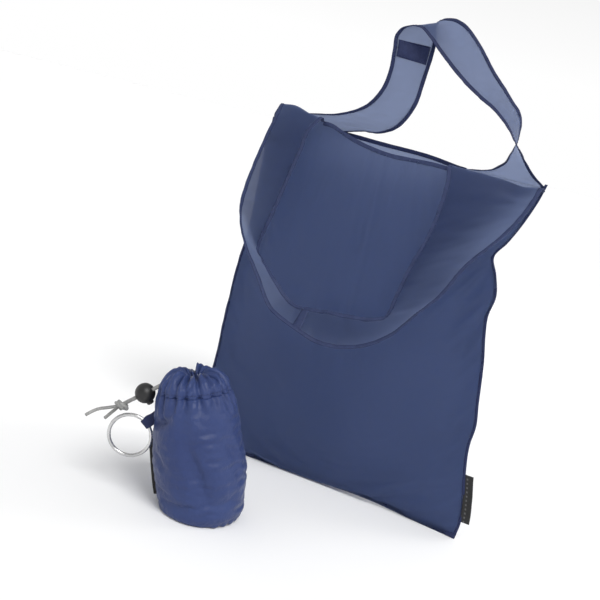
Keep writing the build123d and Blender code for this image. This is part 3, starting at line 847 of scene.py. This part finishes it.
def border_indices(shape, depth):
    """Vertex numbers within some rows or columns of a grid's border."""
    rows, columns = np.indices(shape)
    near = np.minimum(np.minimum(rows, shape[0] - 1 - rows), np.minimum(columns, shape[1] - 1 - columns))
    return np.flatnonzero(near.ravel() < depth)


def make_panel(side):
    """One panel of the tote, settled, with the hem of its rim."""
    name = "front" if side < 0 else "back"
    points = panel_points(side)
    faces = grid_faces(*points.shape[:2])
    points = settle(points, faces, border_indices(points.shape[:2], 1), limit=0.006)
    piece = cloth_piece(f"{name}_panel_cloth", points)
    finish_piece(piece, TOTE_CLOTH, "tote_cloth", f"{name}_panel")
    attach(piece, "tote")
    low, high = FRONT_NECK if side < 0 else BACK_NECK
    top = points[-1]
    neck = np.flatnonzero((top[:, 0] > low) & (top[:, 0] < high))
    inward = unit(points[-4, neck] - top[neck])
    normals = grid_normals(points)[-1, neck]
    edge = top[neck]
    rim = strip_piece(f"{name}_rim_hem", edge, inward, normals, HEM, HEM_THICK, 31 if side < 0 else 32)
    # The front rim gets the lit copy of the binding, painted lighter than the back's; the back rim gets
    # the plain binding.
    finish_piece(rim, BINDING_PAINTED_LIGHTER if side < 0 else BINDING, "tote_binding", f"{name}_rim_binding")
    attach(rim, "tote")
    stitches = []
    sew(edge, inward, normals, HEM_THICK, HEM_STITCHES, stitches)
    ride_stitches(f"{name}_rim_stitches", stitches, "tote")
    return points


def ride_stitches(name, stitches, body):
    piece = stitch_piece(name, stitches)
    finish_piece(piece, THREAD_CLOTH, "tote_binding")
    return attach(piece, body)


def make_seams():
    """The felled seams that join the two panels at the sides and the bottom."""
    stitches = []
    z = np.linspace(0.0015, 0.4225, 170)
    y = edge_at(TOTE_ROWS, z, 2)
    for name, sign, x in (("left", 1, edge_at(TOTE_ROWS, z)), ("right", -1, edge_at(RIGHT_EDGE, z))):
        wander = ripple(41 if sign > 0 else 42, 5, 0.02, 0.06)(z, 0 * z) * 0.0006
        edge = np.stack([x, y + wander, z], 1)
        inward = np.tile((float(sign), 0.0, 0.0), (len(z), 1))
        normals = np.tile((0.0, -1.0, 0.0), (len(z), 1))
        seam = strip_piece(f"{name}_seam", edge, inward, normals, SEAM_WIDTH, SEAM_THICK, 43 + sign)
        finish_piece(seam, BINDING, "tote_binding", f"{name}_side_seam")
        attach(seam, "tote")
        sew(edge, inward, normals, SEAM_THICK, SEAM_STITCHES, stitches)
    share = np.linspace(0, 1, 150)
    left, right = TOTE_ROWS[0, 1], RIGHT_EDGE[0, 1]
    x = left + share * (right - left)
    y = TOTE_ROWS[0, 2] * (1 - 4 * share * (1 - share))
    z = 0.0002 + bottom_lift(x)
    edge = np.stack([x, y, z], 1)
    inward = np.tile((0.0, 0.0, 1.0), (len(x), 1))
    ahead = unit(np.gradient(edge, axis=0))
    normals = unit(np.cross(ahead, inward))
    seam = strip_piece("bottom_felled_seam", edge, inward, normals, BOTTOM_WIDTH, BOTTOM_THICK, 47,
                       proud=0.0)
    finish_piece(seam, BINDING, "tote_binding", "bottom_seam")
    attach(seam, "tote")
    for offset, start in ((0.0012, 0.0), (0.0050, STITCH / 2)):
        sew(edge, inward, normals, BOTTOM_THICK, offset, stitches, start)
    ride_stitches("seam_stitches", stitches, "tote")


def make_tote_label():
    """A folded woven tape caught in the right seam."""
    low, high, width = 0.022, 0.077, 0.010
    z = np.linspace(low, high, 34)
    out = np.linspace(-0.0015, width, 9)
    x = edge_at(RIGHT_EDGE, z)[:, None] + out[None, :]
    curl = np.clip(out, 0, None)[None, :] / width
    bend = 0.0016 * np.sin((z - low) / (high - low) * 3.4)[:, None]
    y = edge_at(TOTE_ROWS, z, 2)[:, None] - bend * curl**2
    points = np.stack([x, y + 0 * x, z[:, None] + 0 * x], -1)
    piece = cloth_piece("side_label", points, LABEL_TAPE)
    finish_piece(piece, LABEL, "woven_label", "tote_label")
    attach(piece, "tote")


# ---------------------------------------------------------------- handles
# Places along each strap: its outer edge, then its inner edge, in millimetres. A swell raises or
# sinks a crest: its place, its share of the width from the outer edge, height, reach and spread.
FRONT_STRAP = [
    ((-171, -4.5, 424.0), (-98, -20.5, 432.0)),
    ((-162, -9, 439), (-98, -26, 436)),
    ((-160, -19, 431), (-105, -33, 424)),
    ((-166, -27, 395), (-111, -37, 392)),
    ((-172, -34, 352), (-119, -39, 352)),
    ((-173, -39, 325), (-125, -41, 318)),
    ((-168, -45, 303), (-133, -46, 270)),
    ((-147, -66, 279), (-120, -56, 261)),
    ((-115, -76, 242), (-103, -58, 246)),
    ((-81, -81, 208), (-66, -61, 221)),
    ((-50, -83, 198), (-50, -63, 222)),
    ((-21, -83, 191), (-22, -63, 226)),
    ((9, -82, 194), (4, -62, 229)),
    ((38, -80, 206), (26, -60, 232)),
    ((60, -76, 224), (38, -57, 236)),
    ((82, -68, 256), (43, -54, 241)),
    ((97, -58, 276), (46, -50, 264)),
    ((120, -52, 323), (54, -46, 305)),
    ((146, -42, 360), (63, -43, 338)),
    ((159, -30, 385), (67, -40, 372)),
    ((165, -19, 405), (67, -36, 402)),
    ((168, -9, 418), (64, -29, 419)),
    ((170, -4.5, 413), (70, -22, 416))]
BACK_STRAP = [
    ((-171, 3, 425), (-84, 19, 424.5)),
    ((-132, 8, 436), (-62, 20, 430)),
    ((-96, 12, 444), (-40, 22, 433)),
    ((-66, 14, 460), (-20, 24, 446)),
    ((-50, 14, 484), (-7, 26, 474)),
    ((-46, 14, 508), (-5, 29, 503)),
    ((-47, 13, 531), (-4, 32, 529)),
    ((-47, 12, 549), (-6, 38, 550)),
    ((-38, 11, 558), (-12, 45, 566)),
    ((-22, 11, 561), (-9, 47, 576)),
    ((-7, 11, 552), (6, 43, 580)),
    ((8, 11, 539), (22, 37, 576)),
    ((36, 10, 518), (48, 33, 556)),
    ((66, 10, 499), (72, 31, 531)),
    ((94, 9, 484), (98, 31, 506)),
    ((112, 6, 470), (115, 33, 486)),
    ((123, 3, 458), (117, 36, 462)),
    ((134, 3, 447), (114, 31, 446)),
    ((146, 3, 434), (108, 27, 431)),
    ((157, 3, 425), (94, 23, 421)),
    ((170, 3, 417), (74, 20, 417))]
STRAPS = {
    "front": {
        "places": FRONT_STRAP, "joint": 10, "start": (0, 0, 0.404), "end": (0, 0, 0.375), "seed": 51,
        # The front handle's hems use the lit copy of the binding, painted lighter for the light on the
        # front.
        "hem": BINDING_PAINTED_LIGHTER,
        "swells": [(1, 0.33, 0.0070, 0.013, 0.30), (21, 0.22, -0.0075, 0.020, 0.13)]},
    "back": {
        "places": BACK_STRAP, "joint": 6, "start": (0, 0, 0.426), "end": (0, 0, 0.455), "seed": 61,
        "hem": BINDING, "swells": []}}


def strap_surface(strap, panel_top, step=0.0025, columns=19):
    """The strap as a grid of rows along it, and the distance of each given place."""
    places = np.array(strap["places"], float) * MM
    seed = strap["seed"]
    knots = knots_of(places.mean(1))
    at = np.linspace(0, knots[-1], int(knots[-1] / step))
    outer = smooth(places[:, 0], knots, at)
    inner = smooth(places[:, 1], knots, at)
    share = np.linspace(0, 1, columns)
    points = outer[:, None] + share[None, :, None] * (inner - outer)[:, None]
    points = meet_panel(points, panel_top)
    normals = grid_normals(points)
    width = np.linalg.norm(inner - outer, axis=1)[:, None]
    along = at[:, None] + 0 * share
    free = np.clip(np.minimum(at, at[-1] - at) / 0.02, 0, 1)[:, None]
    belly = 4 * share * (1 - share)
    wave = ripple(seed, 6, 0.035, 0.09)(along, share * width) * 0.0011
    small = ripple(seed + 1, 6, 0.012, 0.03)(along, share * width) * 0.0003
    lift = (wave * (0.35 + belly) + small + 0.0012 * belly) * free
    points = points + normals * lift[..., None]
    for place, middle, height, reach, spread in strap["swells"]:
        fade = np.exp(-((at - knots[place]) / reach) ** 2)[:, None] * free
        points[..., 2] += height * fade * np.exp(-((share - middle) / spread) ** 2)
    return points, knots, at


def meet_panel(points, panel_top):
    """Bends both ends of a strap's grid so that they start on the panel's top edge."""
    rows = len(points)
    reach = 12
    for end, order in ((0, 1), (rows - 1, -1)):
        line = points[end]
        found = value_at(line[:, 0], panel_top[:, 0], panel_top).T
        for k in range(reach):
            weight = (1 - k / reach) ** 2 * (1 + 2 * k / reach)
            points[end + order * k] += (found - line) * weight
    return points


def blend_strap(piece):
    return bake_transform(piece)


def make_handle(side, panel_top):
    """One handle: its cloth in two halves, the seam between them and the bindings on both edges."""
    strap = STRAPS[side]
    points, knots, at = strap_surface(strap, panel_top)
    middle = int(np.searchsorted(at, knots[strap["joint"]]))
    normals = grid_normals(points)
    halves = {"left": points[:middle + 1], "right": points[middle:]}
    for half, grid in halves.items():
        piece = cloth_piece(f"{side}_handle_{half}_cloth", grid)
        finish_piece(piece, TOTE_CLOTH, "tote_cloth", f"{side}_handle_{half}")
        blend_strap(piece)
    stitches = []
    for edge_name, column, inner_column in (("outer", 0, 6), ("inner", -1, -7)):
        edge = points[:, column]
        inward = unit(points[:, inner_column] - edge)
        across = normals[:, column]
        seed = strap["seed"] + 3 + column
        hem = strip_piece(f"{side}_handle_{edge_name}_hem", edge, inward, across, HEM, HEM_THICK, seed)
        finish_piece(hem, strap["hem"], "tote_binding", f"{side}_handle_{edge_name}_binding")
        blend_strap(hem)
        sew(edge, inward, across, HEM_THICK, HEM_STITCHES, stitches)
    seam_rows = 2 if side == "front" else 4
    seam_grid = points[middle - seam_rows:middle + seam_rows + 1, 2:-2]
    seam = cloth_piece(f"{side}_handle_seam", seam_grid, thick=0.0014)
    finish_piece(seam, strap["hem"], "tote_binding", f"{side}_handle_joint_seam")
    blend_strap(seam)
    for row in (middle - seam_rows + 1, middle + seam_rows - 1):
        line = points[row, 2:-2]
        sew(line, np.zeros_like(line), normals[row, 2:-2], 0.0016, 0.0, stitches)
    thread = stitch_piece(f"{side}_handle_stitches", stitches)
    finish_piece(thread, THREAD_CLOTH, "tote_binding")
    blend_strap(thread)


# ---------------------------------------------------------------- pouch
# Radius and distance up the pouch's axis, in millimetres: base, side, gathered hem and its inside.
POUCH_SIDE = MM * np.array([
    (0.5, -6), (16, -7.5), (30, -8), (39, -5), (44, 3), (47, 18), (48.2, 36), (48.4, 56), (47.8, 80),
    (46.2, 100), (43.6, 117), (40, 130), (36.6, 138)])
POUCH_HEM = MM * np.array([
    (36.6, 138), (37.0, 141.5), (36.0, 146), (32.5, 151), (27, 155), (20, 157), (13.5, 156), (9.5, 152),
    (8.5, 146), (10, 141)])
PLEAT_ANGLES = [8, 27, 52, 71, 97, 118, 139, 163, 180, 199, 218, 243, 262, 286, 309, 331, 349]
# Folds in the stuffed pouch: start and end as degrees round it and millimetres up it, width, height.
POUCH_FOLDS = [
    ((256, 122), (286, 30), 8, -6.5), ((284, 116), (306, 40), 9, 3.2), ((184, 104), (238, 114), 5, -6.0),
    ((196, 90), (236, 62), 7, -3.0), ((214, 26), (262, 22), 6, -2.2), ((318, 108), (334, 44), 7, -3.2),
    ((340, 30), (290, 18), 6, -2.0), ((20, 102), (40, 30), 9, -4.0), ((75, 110), (58, 40), 8, -3.4),
    ((108, 96), (130, 34), 9, -3.6), ((150, 108), (160, 50), 7, -2.6)]
GIRTH = 0.047                # radius that turns an angle round the pouch into a length


def round_ripple(seed, waves, low, high, angle, height, stretch):
    """A ripple that closes on itself round the pouch. stretch draws its waves out sideways."""
    wave = ripple(seed, waves, low, high)
    along = GIRTH * angle / stretch
    left = wave(along, height)
    right = wave(along - 2 * np.pi * GIRTH / stretch, height)
    share = angle / (2 * np.pi)
    return left * (1 - share) + right * share


def gathers(angle, rise, seed):
    """Valleys and the puffs between them, from 0 where the cloth is full to 1 at the drawcord."""
    draw = np.random.default_rng(seed)
    total = np.zeros_like(angle)
    for degrees in PLEAT_ANGLES:
        place = math.radians(degrees) + draw.uniform(-0.35, 0.35) * (1 - rise) ** 1.5
        wide, deep, reach = draw.uniform(0.045, 0.075), draw.uniform(0.7, 1.25), draw.uniform(0.4, 0.85)
        gap = (angle - place + np.pi) % (2 * np.pi) - np.pi
        spread = wide * (1 + 2.0 * (1 - rise))
        strength = deep * np.clip((rise - 1 + reach) / reach, 0, 1) ** 1.6
        total -= strength * np.exp(-(gap / spread) ** 2)
        total += 0.42 * strength * np.exp(-((np.abs(gap) - 2.1 * spread) / spread) ** 2)
    return total


def pouch_relief(angle, height, seed):
    """How far the pouch's cloth stands out from its smooth outline."""
    rise = np.clip((height - 0.078) / 0.060, 0, 1)
    total = 0.0036 * gathers(angle, rise, seed)
    body = np.clip((height + 0.004) / 0.02, 0, 1) * (1 - 0.5 * rise)
    total += 0.0011 * round_ripple(seed + 1, 6, 0.05, 0.12, angle, height, 0.8) * body
    total += 0.00050 * round_ripple(seed + 2, 6, 0.009, 0.018, angle, height, 2.6) * body
    total += 0.00022 * round_ripple(seed + 3, 7, 0.005, 0.010, angle, height, 1.4) * body
    for (from_angle, low), (to_angle, high), width, depth in POUCH_FOLDS:
        start = np.array((math.radians(from_angle) * GIRTH, low * MM))
        run = np.array((math.radians(to_angle) * GIRTH, high * MM)) - start
        across = (GIRTH * angle - start[0] + np.pi * GIRTH) % (2 * np.pi * GIRTH) - np.pi * GIRTH
        upward = height - start[1]
        along = np.clip((across * run[0] + upward * run[1]) / (run @ run), 0, 1)
        gap = np.hypot(across - along * run[0], upward - along * run[1])
        fade = np.sin(np.pi * (0.12 + 0.88 * (1 - along)) ** 0.8)
        total += depth * MM * fade * np.exp(-(gap / (width * MM)) ** 2)
    return total


def pouch_grid(profile, step, seed, columns=190):
    """A turned outline with its relief, as rows of points round the pouch's axis."""
    knots = knots_of(np.c_[profile, np.zeros(len(profile))])
    at = np.linspace(0, knots[-1], int(knots[-1] / step))
    line = smooth(profile, knots, at)
    angle = np.linspace(0, 2 * np.pi, columns, endpoint=False)[None, :]
    radius, height = line[:, :1], line[:, 1:]
    angles = angle + 0 * radius
    heights = height + 0 * angle
    inside = np.clip(at / at[-1], 0, 1)[:, None]
    relief = pouch_relief(angles, heights, seed)
    return radius, angles, heights, relief, inside


def place_pouch(radius, angles, heights):
    """Turned coordinates to the row frame, flattened on the floor."""
    points = lean(np.stack([radius * np.cos(angles), radius * np.sin(angles), heights], -1))
    floor = 0.0006
    points[..., 2] = floor + np.logaddexp(0, (points[..., 2] - floor) / 0.0009) * 0.0009
    return pouch_to_world(points)


def make_pouch():
    """The stuffed pouch, its gathered hem and the bundle that shows in its mouth."""
    radius, angles, heights, relief, _ = pouch_grid(POUCH_SIDE, 0.0017, 71)
    pucker = 0.0016 * np.cos(23 * angles + 3 * np.sin(2 * angles))
    pucker = pucker * np.exp(-((radius - 0.034) / 0.011) ** 2) * np.where(heights < 0, 1, 0)
    base = np.exp(-(np.clip(0.010 - heights, 0, None) / 0.006) ** 2)
    under = np.where(heights < 0.001, 0.25, 1.0)
    side = place_pouch(radius + relief * base * under, angles, heights + pucker)
    rows = len(side)
    faces = grid_faces(rows, side.shape[1], wrap=True)
    row_index = np.indices(side.shape[:2])[0].ravel()
    held = np.flatnonzero((row_index > rows - 3) | (side[..., 2].ravel() < 0.0014))
    side = settle(side, faces, held, limit=0.005, growth=0.02, gravity=0.0, pressure=2.0)
    side[..., 2] = np.maximum(side[..., 2], 0.0005)
    body = cloth_piece("pouch_cloth_body", side, wrap=True)
    finish_piece(body, POUCH_CLOTH, "pouch_cloth", "pouch_shell", "pouch_base")
    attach(body, "pouch")
    make_pouch_hem(side)
    make_bundle()


def make_pouch_hem(side):
    """The gathered tube of cloth round the mouth, with its row of stitches."""
    radius, angles, heights, relief, share = pouch_grid(POUCH_HEM, 0.0013, 71)
    tangent = unit(np.gradient(np.concatenate([radius, heights[:, :1]], axis=1), axis=0))
    outward = np.stack([tangent[:, 1], -tangent[:, 0]], 1)
    valleys = gathers(angles, np.ones_like(angles), 71)
    on_top = np.clip((share - 0.22) / 0.3, 0, 1)
    depth = 0.0019 + 0.0026 * on_top * np.clip(radius / 0.02, 0.25, 1)
    crinkle = 0.0005 * round_ripple(78, 7, 0.006, 0.012, angles, share * 0.06, 1.0)
    change = np.maximum(valleys * depth + crinkle, -0.0022 - 0.0024 * on_top)
    joined = np.clip(share / 0.08, 0, 1)
    change = relief * (1 - joined) + change * joined
    puffs = sum(size * np.sin(count * angles + turn)
                for size, count, turn in ((0.0022, 5, 1.1), (0.0016, 8, 2.3), (0.0010, 13, 0.0)))
    radius = radius + change * outward[:, :1]
    puffs = puffs * on_top * (1 - 0.85 * np.clip((share - 0.6) / 0.2, 0, 1))
    heights = heights + change * outward[:, 1:] + puffs
    hem = place_pouch(radius, angles, heights)
    hem[0] = side[-1]
    piece = cloth_piece("gathered_hem", hem, wrap=True)
    finish_piece(piece, POUCH_CLOTH, "pouch_cloth", "drawcord_casing")
    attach(piece, "pouch")
    sewn = 3
    loop = np.concatenate([hem[sewn], hem[sewn][:1]])
    away = unit(hem[sewn] - hem[sewn].mean(0))
    away = np.concatenate([away, away[:1]])
    stitches = []
    stitch_row(loop + away * 0.0002, away, stitches)
    thread = stitch_piece("pouch_hem_stitches", stitches)
    finish_piece(thread, THREAD_CLOTH, "pouch_cloth")
    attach(thread, "pouch")


def make_bundle():
    """The folded tote inside: crumpled cloth that fills the mouth."""
    rows, columns = 60, 120
    polar = np.linspace(0.02, np.pi - 0.02, rows)[:, None]
    angles = np.linspace(0, 2 * np.pi, columns, endpoint=False)[None, :] + 0 * polar
    radius, half_height, middle = 0.0130, 0.030, 0.119
    flat_top = np.sign(np.cos(polar)) * np.abs(np.cos(polar)) ** 0.8
    wave = ripple(83, 6, 0.012, 0.03)
    crumple = np.abs(wave(0.02 * np.cos(angles) * 2 + 0.02 * polar, 0.02 * np.sin(angles) * 2))
    size = 1 - 0.16 * np.exp(-(crumple / 0.25) ** 2)
    points = lean(np.stack([radius * np.sin(polar) * size * np.cos(angles),
                            radius * np.sin(polar) * size * np.sin(angles),
                            middle + half_height * flat_top * size + 0 * angles], -1))
    piece = tube_piece("folded_tote_bundle", pouch_to_world(points))
    finish_piece(piece, TOTE_CLOTH, "pouch_cloth", "folded_tote_filling")
    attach(piece, "pouch")


def make_tab():
    """The cloth loop that holds the key ring: a strip folded round the wire."""
    toward = np.array((math.cos(TAB_ANGLE), 0, math.sin(TAB_ANGLE)))
    place = np.array((RING_PLACE[0], RING_V, RING_PLACE[1])) + RING_RADIUS * toward
    along_wire = np.array((-math.sin(TAB_ANGLE), 0, math.cos(TAB_ANGLE)))
    outward = np.array((0.0, -1.0, 0.0))
    half = np.array([(15, 0.55), (11, 0.65), (8, 0.95), (4.5, 2.2), (1.6, 3.2), (-1.4, 3.15), (-3.3, 1.4)])
    outline = MM * np.concatenate([half, half[::-1] * (1, -1)])
    knots = knots_of(np.c_[outline, np.zeros(len(outline))])
    line = smooth(outline, knots, np.linspace(0, knots[-1], 70))
    across = np.linspace(-0.0055, 0.0055, 11)
    path = place + line[:, :1] * toward + line[:, 1:] * outward
    flare = 1 + 0.08 * np.sin(line[:, 0] * 400)
    points = path[:, None] + (flare[:, None] * across)[..., None] * along_wire
    piece = cloth_piece("ring_tab", pouch_to_world(points), 0.0008)
    finish_piece(piece, BINDING, "pouch_cloth", "key_loop_tab")
    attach(piece, "pouch")


def make_pouch_label():
    """A folded woven tape caught in the pouch's left seam."""
    height = np.linspace(0.018, 0.089, 40)
    out = np.linspace(-0.003, 0.0072, 9)
    radius = smooth(POUCH_SIDE[3:, 0], POUCH_SIDE[3:, 1], height)
    behind = 0.008
    bend = 0.0012 * np.sin((height - 0.02) * 60)
    u = -(radius[:, None] + out[None, :])
    v = behind + bend[:, None] * np.clip(out, 0, None)[None, :] / 0.007
    points = lean(np.stack([u, v + 0 * u, height[:, None] + 0 * u], -1))
    piece = cloth_piece("pouch_side_label", pouch_to_world(points), 0.0010)
    finish_piece(piece, LABEL, "woven_label", "pouch_label")
    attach(piece, "pouch")


# ---------------------------------------------------------------- CAD pieces that stay
def dress_cad_nodes():
    looks = {"cord_lock_shell": PLASTIC, "cord_lock_plunger": PLASTIC,
             "key_ring": NICKEL, "ring_gate": NICKEL, "gate_pin": NICKEL, "drawcord_loop": BRAID}
    for node, look in looks.items():
        piece = frame["nodes"][node]
        piece.data.materials.clear()
        piece.data.materials.append(look)


make_camera()
make_lights()
make_room()
make_cords()
make_lock_spring()
for side, name in ((-1, "front"), (1, "back")):
    panel = make_panel(side)
    make_handle(name, panel[-1])
make_seams()
make_tote_label()
make_pouch()
make_tab()
make_pouch_label()
dress_cad_nodes()
